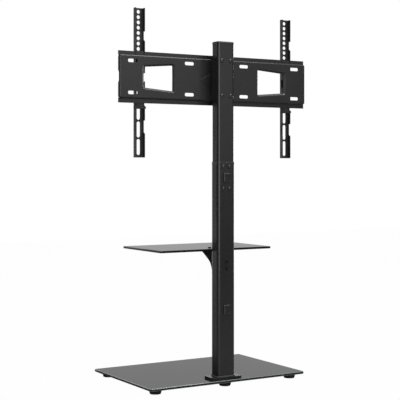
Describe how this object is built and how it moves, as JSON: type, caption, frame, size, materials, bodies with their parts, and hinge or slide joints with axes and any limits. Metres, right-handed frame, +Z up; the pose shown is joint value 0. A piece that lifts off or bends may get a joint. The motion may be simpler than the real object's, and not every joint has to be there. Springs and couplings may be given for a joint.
{
  "type": "tv stand with mount",
  "caption": "Floor stand for a flat screen: glass base on feet, telescopic column, glass shelf, and a slotted plate with sliding arms.",
  "frame": {"origin": "on the floor under the middle of the base glass", "axes": "+Z up; -Y is the front, where the screen hangs; the arm named left is at +X"},
  "size_m": [0.653, 0.367, 1.1084],
  "materials": {
    "coated_steel": "satin black powder coat",
    "black_screws": "satin black",
    "plated_steel": "bright zinc plate",
    "black_glass": "polished black tempered glass",
    "black_plastic": "fine grained",
    "black_rubber": "matte"
  },
  "bodies": {
    "stand": {"base_glass": "black_glass", "cable_grommet_lower": "black_plastic", "cable_grommet_upper": "black_plastic", "clamp_plate": "coated_steel", "clamp_screws": "black_screws", "column_collar": "black_plastic", "column_flange": "coated_steel", "foot_front_left": "black_rubber", "foot_front_right": "black_rubber", "foot_middle": "black_rubber", "foot_rear_left": "black_rubber", "foot_rear_right": "black_rubber", "glass_bushings": "black_plastic", "height_bolts": "black_screws", "height_nut_plate": "plated_steel", "lower_column": "coated_steel", "lower_gasket": "black_rubber", "shelf_bracket": "coated_steel", "shelf_bracket_bolts": "black_screws", "shelf_bracket_nuts": "plated_steel", "shelf_glass": "black_glass", "shelf_nuts": "plated_steel", "shelf_pad": "black_rubber", "shelf_screws": "black_screws", "shelf_washers": "plated_steel", "upper_gasket": "black_rubber"},
    "mast": {"upper_column": "coated_steel", "top_cap": "black_plastic", "mount_spacer": "coated_steel", "mount_plate": "coated_steel", "mount_bolts": "black_screws", "mount_nuts": "plated_steel"},
    "arm_left": {"arm_left": "coated_steel", "lock_screw_left": "black_screws", "lock_nut_left": "plated_steel", "lock_block_left": "black_plastic"},
    "arm_right": {"arm_right": "coated_steel", "lock_screw_right": "black_screws", "lock_nut_right": "plated_steel", "lock_block_right": "black_plastic"}
  },
  "joints": [
    {"name": "height_slide", "type": "slide", "parent": "stand", "child": "mast", "axis": [0, 0, 1], "range_m": [0, 0.12]},
    {"name": "arm_left_slide", "type": "slide", "parent": "mast", "child": "arm_left", "axis": [1, 0, 0], "range_m": [-0.165, 0.046]},
    {"name": "arm_right_slide", "type": "slide", "parent": "mast", "child": "arm_right", "axis": [1, 0, 0], "range_m": [-0.042, 0.168]}
  ]
}
